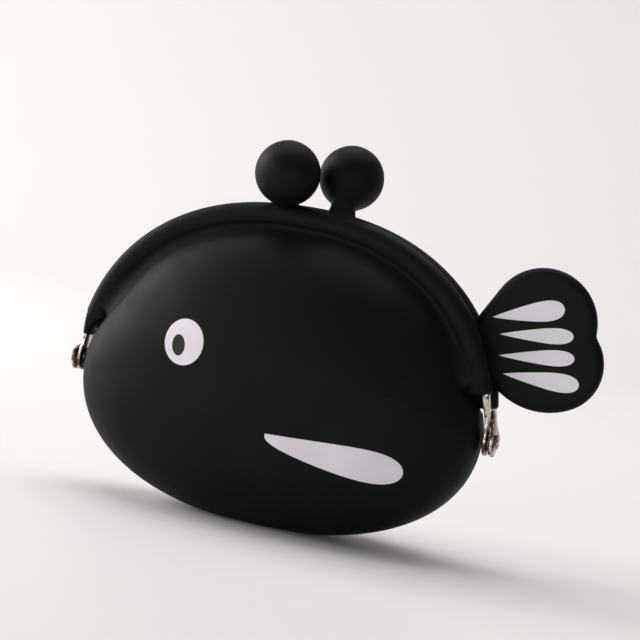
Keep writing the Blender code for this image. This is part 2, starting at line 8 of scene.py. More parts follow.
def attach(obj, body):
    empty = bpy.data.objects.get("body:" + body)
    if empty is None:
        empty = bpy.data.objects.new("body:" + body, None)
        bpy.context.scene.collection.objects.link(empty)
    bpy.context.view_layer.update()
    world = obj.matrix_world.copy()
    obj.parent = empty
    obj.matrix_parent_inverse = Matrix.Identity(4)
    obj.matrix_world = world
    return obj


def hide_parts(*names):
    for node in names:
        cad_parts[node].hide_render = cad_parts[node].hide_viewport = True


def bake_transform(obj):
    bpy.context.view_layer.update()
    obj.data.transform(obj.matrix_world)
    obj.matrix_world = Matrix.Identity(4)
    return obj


# A silicone coin purse shaped like a fish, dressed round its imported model. Lengths are in metres.
# Side -1 is the front, at -Y, and side 1 the back. Heights named z count from the hinge line.

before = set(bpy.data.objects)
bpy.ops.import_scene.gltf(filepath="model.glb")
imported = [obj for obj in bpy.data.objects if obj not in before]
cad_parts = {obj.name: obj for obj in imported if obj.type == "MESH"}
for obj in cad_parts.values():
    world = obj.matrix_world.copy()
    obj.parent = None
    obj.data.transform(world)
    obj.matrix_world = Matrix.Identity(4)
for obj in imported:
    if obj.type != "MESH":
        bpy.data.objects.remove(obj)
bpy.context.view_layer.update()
print("stage: frame loaded")

outline = {
    "hingeHeight": 0.0265,
    "rimHalfWidth": 0.0461,
    "rimRise": 0.0402,
    "power": 2.22,  # superellipse exponent of the arches and of the belly
}

rim = {
    "width": 0.0052,
    "depth": 0.0048,
    "power": 2.2,
    "midGap": 0.0004,
    "frontEnd": 0.0092,
    "backEnd": 0.0062,
    "endRound": 0.0007,
    "stations": 220,
    "points": 48,
    "endRings": 7,
    "tipEnd": 0.0050,  # the front rim's nose end goes on as a thin tube down to here
    "tipHalfWidths": (0.00185, 0.0008),  # where it leaves the rim, and at its end on the bar
    "tipHalfDepths": (0.0019, 0.0016),
    "tipShift": 0.00095,  # how far its start is drawn from the bar to the rim's middle
    "tipPower": 2.7,
    "tipRings": 22,
    "tipPoints": 32,
    "tipRipple": 0.012,
    "tipRippleRings": 5.5,  # rings from one ripple to the next
    "tipClosing": (0.995, 0.97, 0.91),  # shares of its size left at the last rings
    "tipRise": 0.0009,  # how far its start reaches up into the rim
    "tipInside": (0.45, 0.70, 0.45),  # shares of its section where the end turns in
    "tipInsideRise": 0.0008,
    "legSamples": 200,  # places on the leg among which the tube's end is found
}

pouch = {
    "halfWidth": 0.0440,
    "halfDepth": 0.0190,
    "wall": 0.0018,
    "baseCut": 0.0008,
    "baseRound": 0.0003,
    "lipInset": 0.0055,
    "lipHalfGap": 0.0027,
    "lipFillet": 0.0020,
    "domePower": 2.2,
    "mouthEnd": 0.0055,
    "mouthRun": 0.0070,
    "edgeDraw": 0.08,
    "waistTop": 0.0165,
    "sideRun": 0.0014,  # height over which the sides flatten, up to the rim's cut end
    "sideRound": 0.30,
    "sideFull": (0.958, 0.988),  # shares of the way out between which the flattening sets in
    "valleyDepth": 0.0066,  # depth of the belly where the valley's fillet leaves it
    "valleyAngle": math.radians(128),  # and where the fillet meets the rim's section
    "valleyEndAngle": math.radians(92),  # the same at the rim's ends, where the belly laps over it
    "valleyEndTop": 0.0240,
    "valleyPull": 0.0040,
    "valleySink": 0.00002,  # how deep in the rim the fillet lands
    "valleyStep": 0.05,  # turn round the rim over which its landing direction is taken
    "joinRun": (0.0001, 0.0030),  # heights over the rim's cut end between which the belly joins it
    "hiddenRows": ((-0.25, 0.00015), (0, 0.0012), (0.6, 0.0009)),  # turn and depth inside the rim
    "edgeShares": (0.2, 0.5, 0.8),  # rows round the free edge, from outer to inner skin
    "edgeRound": 0.3,
    "bendFrom": 0.020,  # a bend of the flanks from this far under the hinge line; nothing reads it
    "bendTo": 0.006,  # to this far over it; nothing reads it either
    "spokes": 288,
    "outerRows": 46,
    "filletRows": 12,
    "innerRows": 26,
}

clasp = {
    "offset": 0.0055,
    "lean": 0.0050,
    "frontHeight": 0.0475,
    "backHeight": 0.0464,
    "backShift": 0.0004,  # of the back ball, towards the front one
    "radius": 0.0068,
    "neckRadius": 0.0026,
    "neckAlong": 0.0080,  # from the ball's middle to the neck's narrowest ring
    "neckLeaves": math.radians(133),  # where the neck leaves the ball, from its far pole
    "neckPull": 0.0018,
    "footShift": 0.0015,  # of the neck's foot, away from the other ball
    "footReach": 0.0032,  # of the neck's flare, along the rim
    "footSpread": math.radians(52),  # and round the rim's section
    "kneeDrop": 0.0006,
    "partingHeight": 0.00005,
    "partingWidth": 0.00022,
    "firstLean": 0.03,  # of the ball's first ring, from its pole
    "footWay": 1.1,  # share of the foot's reach where its landing direction is taken
    "sunkRings": ((1.08, 0.00003), (1.12, 0.0002)),  # share of the reach, and depth in the rim
    "rootDepth": 0.0010,
    "points": 96,
    "ballRows": 64,
    "neckRows": 12,
    "flareRows": 16,
}

tail = {
    "thickness": 0.0038,
    "edge": 0.0019,
    "rootTop": 0.0220,
    "rootBottom": 0.0130,
    "upperRadius": 0.01125,
    "upperX": 0.0518,
    "upperZ": 0.0256,
    "lowerRadius": 0.0097,
    "lowerX": 0.0561,
    "lowerZ": 0.0180,
    "upperStart": math.radians(150),
    "lowerEnd": math.radians(-62),
    "sweepRadius": 0.0150,
    "sweepEnd": math.radians(-139),
    "centreX": 0.0515,
    "centreZ": 0.0208,
    "smoothing": 2.2,  # degrees over which the outline's corners are rounded
    "smoothingSpokes": 20,  # to each side
    "edgePower": 2.3,
    "swell": 0.10,  # share of the thickness that is gained from the edge to
    "swellRun": 0.006,  # this far inside it
    "rootPoints": 60,
    "arcPoints": 160,
    "denseSteps": 24,  # between neighbouring points of the outline
    "spokes": 720,
    "spokeStep": 2,  # the mesh takes every second spoke
    "rows": 35,
}

marks = {
    "lift": 0.00003,
    "sink": 0.0004,
    "eye": (-0.0167, 0.0090, 0.0045, 0.00475, math.radians(12.5)),
    "pupil": (-0.0178, 0.0082, 0.0015, 0.0022, math.radians(12.5)),
    "fin": (0.0043, -0.0057, 0.0284, math.radians(-5.8)),
    "finRise": 0.0043,
    "finSag": 0.0046,
    "stripeTips": [(0.0417, 0.0250), (0.0438, 0.0219), (0.0444, 0.0176), (0.0459, 0.0141)],
    "stripeSlopes": [16.8, 8.6, 8.1, 2.1],
    "stripeLengths": [0.0151, 0.0153, 0.0157, 0.0159],
    "stripeHalfWidths": [0.00209, 0.00162, 0.00162, 0.0019],
    "finPowers": (1, 0.33, 6),  # of the upper edge, the lower edge and the round end
    "stripePowers": (0.85, 0.85, 5),
    "stripePeak": 0.68,  # what that formula gives where a stripe is widest
    "pupilLift": 2,  # times the lift, because it lies on the eye's white
    "edgeSink": 0.00002,
    "edgeRound": ((0.00002, 0.6), (0.00006, 1)),  # how far drawn in, and share of the lift there
    "innerShares": (0.04, 0.1, 0.2, 0.32, 0.45, 0.58, 0.72, 0.86),  # rows on to the middle
    "dropSteps": 72,
    "ellipsePoints": 144,
}

metal = {
    "barWidth": 0.0013,
    "barDepth": 0.0024,
    "barSideInset": 0.0011,
    "legPull": 0.45,  # how far the bent leg runs on straight at both ends, over its length
    "legTop": math.radians(112),  # where the leg leaves the ear's round tip
    "corner": 0.0003,
    "earRadius": 0.0030,
    "earThickness": 0.0007,
    "pivotGap": 0.00015,
    "hingeClearance": 0.0003,
    "innerHead": (0.0017, 0.0005),  # radius and thickness
    "outerHead": (0.0019, 0.0005),
    "rivetRadius": 0.0010,
    "washer": (0.0020, 0.0004),
    "washerEase": 0.00008,
    "thinRun": (0.15, 0.8),  # shares of the way down the leg over which it thins
    "spreadRun": (0.45, 1),  # and over which it widens to the ear
    "cornerShare": 0.95,  # of the half section that a corner takes at most
    "cornerSteps": 4,
    "earStart": math.radians(8),
    "earRings": 10,
    "legRings": 22,
    "archSteps": 90,
    "barSharp": 50,  # degrees over which an edge shades hard
    "turnedSharp": 40,
    "turnedPoints": 48,
    "headPower": 0.8,
    "headTurn": 1.45,
    "outerPoints": 10,
    "innerPoints": 7,
}

hingeHeight = outline["hingeHeight"]
sleeveY = (rim["midGap"] + rim["depth"]) / 2
bellyDrop = hingeHeight + pouch["baseCut"]
lipReach = outline["rimRise"] - pouch["lipInset"]
headX = pouch["halfWidth"] + metal["hingeClearance"]  # where each rivet starts


# Shapes shared by the pieces


def smoothStep(value, low, high):
    # 3s^2 - 2s^3 of the share s of the way from low to high
    share = np.clip((value - low) / (high - low), 0, 1)
    return share * share * (3 - 2 * share)


def smoothMax(first, second, rounding):
    # half of a + b + sqrt((a - b)^2 + r^2): the larger of the two, with the corner rounded
    return (first + second + np.hypot(first - second, rounding)) / 2


def signedPower(value, power):
    # |v|^p with the sign of v
    return np.sign(value) * np.abs(value) ** power


def hermite(start, startPull, end, endPull, shares):
    # the cubic through both ends with those pulls, at each share of the way
    t = shares[:, None, None]
    return (
        (2 * t**3 - 3 * t**2 + 1) * start
        + (t**3 - 2 * t**2 + t) * startPull
        + (3 * t**2 - 2 * t**3) * end
        + (t**3 - t**2) * endPull
    )


def unit(vectors):
    return vectors / np.linalg.norm(vectors, axis=-1, keepdims=True)


def stack(x, y, z):
    # points (x, y, z) from arrays that broadcast, with z counted from the hinge line
    x, y, z = np.broadcast_arrays(x, y, z)
    return np.stack([x, y, z], axis=-1)


def toWorld(points):
    return points + np.array([0, 0, hingeHeight])


def makePiece(name, points, faces, material, sharp=None):
    # faces that point inwards, as their signed volume says, are turned round
    corners = np.concatenate([
        np.array(block)[:, [0, i, i + 1]] for block in faces for i in range(1, len(block[0]) - 1)
    ])
    a, b, c = (points[corners[:, i]] for i in range(3))
    inward = np.einsum("ij,ij->i", a, np.cross(b, c)).sum() < 0
    listed = [face[::-1] if inward else face for block in faces for face in np.array(block).tolist()]
    mesh = bpy.data.meshes.new(name)
    mesh.from_pydata(points.tolist(), [], listed)
    mesh.validate()
    mesh.shade_smooth()
    if sharp:
        mesh.set_sharp_from_angle(angle=math.radians(sharp))
    mesh.materials.append(material)
    piece = bpy.data.objects.new(name, mesh)
    bpy.context.scene.collection.objects.link(piece)
    return piece


def closedGrid(name, grid, material, ends=None, sharp=None):
    # a skin over a grid (rows, columns, 3) whose columns run round; each end closes on one point
    rows, cols = grid.shape[:2]
    if ends is None:
        ends = [grid[0].mean(axis=0), grid[-1].mean(axis=0)]
    points = np.concatenate([grid.reshape(-1, 3), np.array(ends)])
    index = np.arange(rows * cols).reshape(rows, cols)
    following = np.roll(index, -1, axis=1)
    quads = np.stack([index[:-1], following[:-1], following[1:], index[1:]], axis=-1).reshape(-1, 4)
    first = np.stack([np.full(cols, rows * cols), following[0], index[0]], axis=-1)
    last = np.stack([np.full(cols, rows * cols + 1), index[-1], following[-1]], axis=-1)
    return makePiece(name, toWorld(points), [quads, np.concatenate([first, last])], material, sharp)


def placeOnArch(x, inset):
    # height and outward direction of the superellipse arch, drawn in by inset, over x
    width = outline["rimHalfWidth"] - inset
    height = outline["rimRise"] - inset
    power = outline["power"]
    z = height * (1 - (np.abs(x) / width) ** power) ** (1 / power)
    return z, archOutward(x, z, width, height)


def archOutward(x, z, width, height):
    # the gradient of (|x| / w)^n + (z / h)^n, as a unit vector
    power = outline["power"] - 1
    slopeX = np.sign(x) * (np.abs(x) / width) ** power / width
    slopeZ = (z / height) ** power / height
    return unit(stack(slopeX, 0, slopeZ))


def placeAtAngle(angle, sideInset):
    # place and outward direction at a superellipse angle, on an arch through the rim's middle at its top
    width = outline["rimHalfWidth"] - sideInset
    height = outline["rimRise"] - rim["width"] / 2
    x = width * signedPower(np.cos(angle), 2 / outline["power"])
    z = height * np.abs(np.sin(angle)) ** (2 / outline["power"])
    return stack(x, 0, z), archOutward(x, z, width, height)


def archStart(height):
    # superellipse angle at which an arch is this high over the hinge line
    rise = outline["rimRise"] - rim["width"] / 2
    return math.asin((height / rise) ** (outline["power"] / 2))


def onRim(place, outward, side, turn, growth=0):
    # a rim's rounded section: turn 0 faces out of the arch, a quarter turn away from the middle
    out = (rim["width"] / 2 + growth) * signedPower(np.cos(turn), 2 / rim["power"])
    deep = (rim["depth"] / 2 + growth) * signedPower(np.sin(turn), 2 / rim["power"])
    across = stack(0, side * (sleeveY + deep), 0)
    return place + np.asarray(out)[..., None] * outward + across


# Materials


def newMaterial(name):
    material = bpy.data.materials.new(name)
    material.use_nodes = True
    return material, material.node_tree.nodes, material.node_tree.links


def addNoise(nodes, links, scale, detail=3, stretch=(1, 1, 1)):
    # noise over the piece's own metres
    coordinates = nodes.new("ShaderNodeTexCoord")
    mapping = nodes.new("ShaderNodeMapping")
    mapping.inputs["Scale"].default_value = stretch
    noise = nodes.new("ShaderNodeTexNoise")
    noise.inputs["Scale"].default_value = scale
    noise.inputs["Detail"].default_value = detail
    links.new(coordinates.outputs["Object"], mapping.inputs["Vector"])
    links.new(mapping.outputs["Vector"], noise.inputs["Vector"])
    return noise.outputs["Fac"]


def addRange(nodes, links, value, fromLow, fromHigh, toLow, toHigh):
    spread = nodes.new("ShaderNodeMapRange")
    for name, number in zip(
        ("From Min", "From Max", "To Min", "To Max"), (fromLow, fromHigh, toLow, toHigh)
    ):
        spread.inputs[name].default_value = number
    links.new(value, spread.inputs["Value"])
    return spread.outputs["Result"]


def addTwoColours(nodes, links, value, first, second):
    mix = nodes.new("ShaderNodeMix")
    mix.data_type = "RGBA"
    mix.inputs["A"].default_value = (*first, 1)
    mix.inputs["B"].default_value = (*second, 1)
    links.new(value, mix.inputs["Factor"])
    return mix.outputs["Result"]


def addBump(nodes, links, value, strength, distance):
    bump = nodes.new("ShaderNodeBump")
    bump.inputs["Strength"].default_value = strength
    bump.inputs["Distance"].default_value = distance
    links.new(value, bump.inputs["Height"])
    return bump


siliconeLook = {
    "black": ((0.0029, 0.0028, 0.0029), (0.0039, 0.0037, 0.0038)),
    "white": ((0.70, 0.655, 0.735), (0.76, 0.72, 0.79)),
    "pupil": ((0.022, 0.022, 0.023), (0.038, 0.038, 0.040)),
    "roughness": (0.53, 0.61),
    "specular": 0.11,
    "slowScale": 90,
    "slowRange": (0.35, 0.65),
    "glossScale": 160,
    "glossRange": (0.3, 0.7),
    "grainScale": 6500,
    "grainStrength": 0.22,
    "grainDepth": 0.00002,
    "lint": (0.045, 0.043, 0.042),
    "lintScale": 210,
    "lintSize": (0.02, 0.05),
    "lintPatchScale": 60,
    "lintPatchRange": (0.60, 0.62),
    "lintAmount": 0.8,
}


def siliconeMaterial(name, colours, lint=None):
    # soft matte moulding: a very fine grain, a slow change of gloss, and a little lint on black
    look = siliconeLook
    material, nodes, links = newMaterial(name)
    shader = nodes["Principled BSDF"]
    slow = addNoise(nodes, links, look["slowScale"])
    colour = addTwoColours(
        nodes, links, addRange(nodes, links, slow, *look["slowRange"], 0, 1), *colours
    )
    if lint:
        cells = nodes.new("ShaderNodeTexVoronoi")
        cells.inputs["Scale"].default_value = look["lintScale"]
        cells.inputs["Randomness"].default_value = 1
        place = nodes.new("ShaderNodeTexCoord")
        links.new(place.outputs["Object"], cells.inputs["Vector"])
        speck = addRange(nodes, links, cells.outputs["Distance"], *look["lintSize"], 1, 0)
        patches = addNoise(nodes, links, look["lintPatchScale"], 1)
        some = addRange(nodes, links, patches, *look["lintPatchRange"], 0, look["lintAmount"])
        both = nodes.new("ShaderNodeMath")
        both.operation = "MULTIPLY"
        links.new(speck, both.inputs[0])
        links.new(some, both.inputs[1])
        dusty = nodes.new("ShaderNodeMix")
        dusty.data_type = "RGBA"
        dusty.inputs["B"].default_value = (*lint, 1)
        links.new(both.outputs["Value"], dusty.inputs["Factor"])
        links.new(colour, dusty.inputs["A"])
        colour = dusty.outputs["Result"]
    links.new(colour, shader.inputs["Base Color"])
    cloud = addNoise(nodes, links, look["glossScale"], 4)
    gloss = addRange(nodes, links, cloud, *look["glossRange"], *look["roughness"])
    links.new(gloss, shader.inputs["Roughness"])
    shader.inputs["Specular IOR Level"].default_value = look["specular"]
    fine = addNoise(nodes, links, look["grainScale"], 2)
    grain = addBump(nodes, links, fine, look["grainStrength"], look["grainDepth"])
    links.new(grain.outputs["Normal"], shader.inputs["Normal"])
    return material


nickelLook = {
    "plate": (0.66, 0.58, 0.52),
    "tarnishAndShade": (0.12, 0.070, 0.050),
    "tarnishScale": 900,
    "hingeShadeTop": 0.0050,  # height over the hinge line up to which the tarnish gathers, as painted shade between the hinge plates
    "hingeShadeBottom": -0.001,
    "hingeShadeShift": (-0.10, 0.05),
    "tarnishAndShadeRange": (0.36, 0.55),
    "gloss": (0.40, 0.18),
    "linesScale": 9000,
    "linesStretch": (1, 0.08, 0.08),
    "linesStrength": 0.25,
    "linesDepth": 0.00002,
}


def nickelMaterial(name):
    # thin bright plate over rolled steel: warm white with brown tarnish spots, gathered low down at the
    # hinge
    #  into painted shade between the plates, rolling lines and a cloudy gloss
    look = nickelLook
    material, nodes, links = newMaterial(name)
    shader = nodes["Principled BSDF"]
    cloud = addNoise(nodes, links, look["tarnishScale"], 4)
    # the cloud of tarnish spots is the plate's own; raising it low down, at the hinge, adds painted
    # shade between the plates
    place = nodes.new("ShaderNodeTexCoord")
    parts = nodes.new("ShaderNodeSeparateXYZ")
    links.new(place.outputs["Object"], parts.inputs["Vector"])
    bottom, top = hingeHeight + look["hingeShadeBottom"], hingeHeight + look["hingeShadeTop"]
    shift = addRange(nodes, links, parts.outputs["Z"], bottom, top, *look["hingeShadeShift"])
    shifted = nodes.new("ShaderNodeMath")
    shifted.operation = "ADD"
    links.new(cloud, shifted.inputs[0])
    links.new(shift, shifted.inputs[1])
    stainAndShade = shifted.outputs["Value"]
    share = addRange(nodes, links, stainAndShade, *look["tarnishAndShadeRange"], 0, 1)
    colour = addTwoColours(nodes, links, share, look["tarnishAndShade"], look["plate"])
    links.new(colour, shader.inputs["Base Color"])
    shader.inputs["Metallic"].default_value = 1
    gloss = addRange(nodes, links, stainAndShade, *look["tarnishAndShadeRange"], *look["gloss"])
    links.new(gloss, shader.inputs["Roughness"])
    lines = addNoise(nodes, links, look["linesScale"], 2, look["linesStretch"])
    rolled = addBump(nodes, links, lines, look["linesStrength"], look["linesDepth"])
    links.new(rolled.outputs["Normal"], shader.inputs["Normal"])
    return material


blackSilicone = siliconeMaterial("black silicone", siliconeLook["black"], siliconeLook["lint"])
whiteSilicone = siliconeMaterial("white silicone", siliconeLook["white"])
pupilSilicone = siliconeMaterial("pupil silicone", siliconeLook["pupil"])
nickel = nickelMaterial("nickel-plated steel")
print("stage: materials")


# Pouch


def bellyHalfWidth(z, inset):
    # half width of the belly's outline, drawn in towards the rims
    underRim = outline["rimHalfWidth"] - pouch["lipInset"]
    share = smoothStep(z, 0, pouch["waistTop"])
    return pouch["halfWidth"] + (underRim - pouch["halfWidth"]) * share - inset


def sideHalfWidth(z, inset, end):
    # half width that the flattened sides leave below the rim's cut end
    underRim = outline["rimHalfWidth"] - pouch["lipInset"]
    share = smoothStep(z, end - pouch["sideRun"], end)
    return pouch["halfWidth"] + (underRim - pouch["halfWidth"]) * share - inset


def skinDepth(share, z, inset):
    # a dome D (1 - S^q)^(1/q) over the share S of the way out, met by the lip of the mouth in a fillet
    q = pouch["domePower"]
    dome = (pouch["halfDepth"] - inset) * (1 - np.minimum(share, 1) ** q) ** (1 / q)
    mouth = smoothStep(z, pouch["mouthEnd"], pouch["mouthEnd"] + pouch["mouthRun"])
    lip = (pouch["lipHalfGap"] + pouch["wall"] - inset) * mouth
    return smoothMax(dome, lip, pouch["lipFillet"] * mouth)


def bellySkin(x, z):
    # depth of the belly over a place on it
    power = outline["power"]
    reach = np.where(z > 0, lipReach, bellyDrop)
    norm = (np.abs(x) / bellyHalfWidth(z, 0)) ** power + (np.abs(z) / reach) ** power
    return skinDepth(norm ** (1 / power), z, 0)


def spokePlace(share, angle, inset, end):
    # x and z at a share of the way out at a superellipse angle; near the middle plane the sides are
    # the smaller of the belly's half width and the flattened one, (a + b - sqrt((a - b)^2 + r^2)) / 2
    power = 2 / outline["power"]
    sine = np.sin(angle)
    edgeInset = inset * (1 - smoothStep(sine, -pouch["edgeDraw"], pouch["edgeDraw"]))
    reach = np.where(sine > 0, lipReach, bellyDrop) - edgeInset
    z = signedPower(sine, power) * share * reach
    belly = bellyHalfWidth(z, edgeInset)
    side = sideHalfWidth(z, edgeInset, end)
    rounding = pouch["sideRound"] * np.maximum(belly - side, 0)
    full = share * belly
    flat = (full + side - np.hypot(full - side, rounding)) / 2
    width = full + (flat - full) * smoothStep(share, *pouch["sideFull"])
    return signedPower(np.cos(angle), power) * width, z


def flatBase(z):
    # nothing reaches under the flat base, and the skin rounds on to it
    return smoothMax(z + hingeHeight, 0, pouch["baseRound"]) - hingeHeight


def rimShare(angle, end):
    # 1 where a spoke ends under the rim and 0 beyond the rim's cut end
    place, _ = placeAtAngle(angle, rim["width"] / 2)
    height = np.where(np.sin(angle) > 0, place[..., 2], -1)
    low, high = pouch["joinRun"]
    return smoothStep(height, end + low, end + high)


def flankGrid(side, end):
    # rows from the middle of the belly out to the rim, through the valley into it, and back
    # over the inner skin; the rings are at S = sin(t)^(2/q), which spreads them evenly on the dome
    angle = 2 * np.pi * (np.arange(pouch["spokes"]) + 0.5) / pouch["spokes"]
    q = pouch["domePower"]

    def skinRows(turn, inset):
        share = np.sin(turn)[:, None] ** (2 / q)
        x, z = spokePlace(share, angle, inset, end)
        return stack(x, side * skinDepth(share, z, inset), z)

    under = rimShare(angle, end)[None, :, None]
    edgeShare = (1 - (pouch["valleyDepth"] / pouch["halfDepth"]) ** q) ** (1 / q)
    lastTurn = math.asin(edgeShare ** (q / 2))
    turn = lastTurn * np.arange(1, pouch["outerRows"] + 1) / pouch["outerRows"]
    share = np.sin(turn)[:, None] ** (2 / q)
    x, z = spokePlace(share, angle, 0, end)
    dome = pouch["halfDepth"] * (1 - share**q) ** (1 / q)
    joined = under[..., 0]
    outer = stack(x, side * (dome * joined + skinDepth(share, z, 0) * (1 - joined)), z)

    place, outward = placeAtAngle(angle, rim["width"] / 2)
    lapped = 1 - smoothStep(place[:, 2], end, pouch["valleyEndTop"])
    meet = pouch["valleyAngle"] + (pouch["valleyEndAngle"] - pouch["valleyAngle"]) * lapped
    sink = pouch["valleySink"]
    landing = onRim(place, outward, side, meet, -sink)
    landingWay = unit(landing - onRim(place, outward, side, meet + pouch["valleyStep"], -sink))
    leavingWay = unit(outer[-1] - outer[-2])
    shares = np.arange(1, pouch["filletRows"] + 1) / pouch["filletRows"]
    pull = pouch["valleyPull"]
    valley = hermite(outer[-1], leavingWay * pull, landing, landingWay * pull, shares)
    bare = skinRows(lastTurn + (math.pi / 2 - lastTurn) * shares, 0)
    fillet = valley * under + bare * (1 - under)

    innerTurn = (math.pi / 2) * np.arange(pouch["innerRows"], 0, -1) / pouch["innerRows"]
    inner = skinRows(innerTurn, pouch["wall"])
    hidden = np.stack([
        onRim(place, outward, side, meet + more, -deep) for more, deep in pouch["hiddenRows"]
    ])
    between = np.array(pouch["edgeShares"])[:, None, None]
    over = pouch["edgeRound"] * between * (1 - between) * (bare[-1] - bare[-2])
    edge = bare[-1] * (1 - between) + inner[0] * between + over
    grid = np.concatenate([outer, fillet, hidden * under + edge * (1 - under), inner])
    grid[..., 2] = flatBase(grid[..., 2])
    return grid


def addFlank(name, side, end):
    # one half of the pouch, outside and inside, as one closed skin
    ends = [[0, side * float(skinDepth(0.0, 0.0, inset)), 0] for inset in (0, pouch["wall"])]
    return closedGrid(name, flankGrid(side, end), blackSilicone, ends)


# Rims


def addRim(name, side, end):
    # the rounded section carried along the arch, with both cut ends rounded over
    inset = rim["width"] / 2
    start = archStart(end)
    angle = start + (math.pi - 2 * start) * np.arange(rim["stations"] + 1) / rim["stations"]
    turn = 2 * np.pi * np.arange(rim["points"]) / rim["points"]
    place, outward = placeAtAngle(angle, inset)
    body = onRim(place[:, None], outward[:, None], side, turn[None, :])
    caps = []
    for station, neighbour in ((0, 1), (-1, -2)):
        along = unit(place[station] - place[neighbour])
        lean = np.linspace(0, math.pi / 2, rim["endRings"] + 1)[1:]
        push = rim["endRound"] * np.sin(lean)
        shrink = rim["endRound"] * (1 - np.cos(lean))
        rings = np.stack([onRim(place[station], outward[station], side, turn, -s) for s in shrink])
        caps.append(rings + (push - rim["endRound"])[:, None, None] * along)
    keep = slice(2, -2)
    grid = np.concatenate([caps[0][::-1], body[keep], caps[1]])
    return closedGrid(name, grid, blackSilicone)


# Clasp balls


def claspLine(side):
    # the ball's middle, and the place in the rim where its neck stands
    x = -side * clasp["offset"]
    height = clasp["frontHeight"] if side < 0 else clasp["backHeight"]
    shift = clasp["backShift"] if side > 0 else 0
    footX = x - side * clasp["footShift"]
    top, _ = placeOnArch(np.array(footX), 0)
    centre = np.array([x + shift, -side * clasp["lean"], height])
    knee = np.array([footX, side * sleeveY, float(top) - clasp["kneeDrop"]])
    return centre, knee


def addBall(name, side):
    # a ball with a mould parting line round it, drawn out into a neck that flares on to the rim
    centre, knee = claspLine(side)
    axis = unit(centre - knee)
    away = side * unit(np.array([0, axis[2], -axis[1]]))
    across = side * np.cross(away, axis)
    turn = 2 * np.pi * np.arange(clasp["points"]) / clasp["points"]
    radial = np.cos(turn)[:, None] * across + np.sin(turn)[:, None] * away
    lean = np.linspace(clasp["firstLean"], clasp["neckLeaves"], clasp["ballRows"])[:, None, None]
    direction = np.cos(lean) * axis + np.sin(lean) * radial
    offLine = direction[..., 1:2] * clasp["radius"]
    seam = clasp["partingHeight"] * np.exp(-((offLine / clasp["partingWidth"]) ** 2))
    ball = centre + (clasp["radius"] + seam) * direction

    narrow = centre - axis * clasp["neckAlong"] + clasp["neckRadius"] * radial
    leaving = unit(ball[-1] - ball[-2])
    pull = clasp["neckPull"]
    shares = np.arange(1, clasp["neckRows"] + 1) / clasp["neckRows"]
    neck = hermite(ball[-1], leaving * pull, narrow, -axis * pull, shares)

    def foot(reach, growth=0):
        # the ring where the flare meets the rim, at a share of its reach
        x = knee[0] + clasp["footReach"] * reach * np.cos(turn)
        z, outward = placeOnArch(x, rim["width"] / 2)
        return onRim(stack(x, 0, z), outward, side, clasp["footSpread"] * reach * np.sin(turn), growth)

    landingWay = unit(foot(clasp["footWay"]) - foot(1))
    shares = np.arange(1, clasp["flareRows"] + 1) / clasp["flareRows"]
    flare = hermite(narrow, -axis * pull, foot(1), landingWay * pull, shares)
    sunk = np.stack([foot(reach, -deep) for reach, deep in clasp["sunkRings"]])
    grid = np.concatenate([ball, neck, flare, sunk])
    ends = [centre + axis * clasp["radius"], knee - axis * clasp["rootDepth"]]
    return closedGrid(name, grid, blackSilicone, ends)


# Tail


def tailEdge():
    # round lobes of the tail from the rim and back to it, as distance from its middle over angle
    gap = math.hypot(tail["lowerX"] - tail["upperX"], tail["upperZ"] - tail["lowerZ"])
    heading = math.atan2(tail["lowerZ"] - tail["upperZ"], tail["lowerX"] - tail["upperX"])
    cut = (tail["upperRadius"] ** 2 + gap**2 - tail["lowerRadius"] ** 2) / (2 * gap)
    upperNotch = heading + math.acos(cut / tail["upperRadius"])
    lowerNotch = heading + math.pi - math.acos((gap - cut) / tail["lowerRadius"])
    rootZ = np.linspace(tail["rootBottom"], tail["rootTop"], tail["rootPoints"])
    reach = outline["rimRise"] - rim["width"] / 2
    share = 1 - (rootZ / reach) ** outline["power"]
    rootX = (outline["rimHalfWidth"] - rim["width"] / 2) * share ** (1 / outline["power"])
    upper = np.linspace(tail["upperStart"], upperNotch, tail["arcPoints"])
    lower = np.linspace(lowerNotch, tail["lowerEnd"], tail["arcPoints"])
    sweep = np.linspace(tail["lowerEnd"], tail["sweepEnd"], tail["arcPoints"])
    inner = tail["lowerRadius"] - tail["sweepRadius"]
    sweepX = tail["lowerX"] + inner * math.cos(tail["lowerEnd"])
    sweepZ = tail["lowerZ"] + inner * math.sin(tail["lowerEnd"])
    x = np.concatenate([
        rootX,
        tail["upperX"] + tail["upperRadius"] * np.cos(upper),
        tail["lowerX"] + tail["lowerRadius"] * np.cos(lower),
        sweepX + tail["sweepRadius"] * np.cos(sweep),
    ])
    z = np.concatenate([
        rootZ,
        tail["upperZ"] + tail["upperRadius"] * np.sin(upper),
        tail["lowerZ"] + tail["lowerRadius"] * np.sin(lower),
        sweepZ + tail["sweepRadius"] * np.sin(sweep),
    ])
    closed = np.append(np.stack([x, z], axis=1), [[x[0], z[0]]], axis=0)
    steps = np.linspace(0, 1, tail["denseSteps"], endpoint=False)[None, :, None]
    dense = closed[:-1, None] * (1 - steps) + closed[1:, None] * steps
    dense = dense.reshape(-1, 2) - np.array([tail["centreX"], tail["centreZ"]])
    turn = np.arctan2(dense[:, 1], dense[:, 0])
    order = np.argsort(turn)
    angles = np.linspace(-np.pi, np.pi, tail["spokes"], endpoint=False)
    radius = np.interp(angles, turn[order], np.hypot(*dense.T)[order], period=2 * np.pi)
    aside = tail["smoothingSpokes"]
    degrees = np.arange(-aside, aside + 1) * (360 / tail["spokes"])
    weights = np.exp(-0.5 * (degrees / tail["smoothing"]) ** 2)
    padded = np.concatenate([radius[-aside:], radius, radius[:aside]])
    return angles, np.convolve(padded, weights / weights.sum(), "valid")


tailAngles, tailRadii = tailEdge()
tailRim = np.stack([
    tail["centreX"] + tailRadii * np.cos(tailAngles),
    tail["centreZ"] + tailRadii * np.sin(tailAngles),
], axis=1)


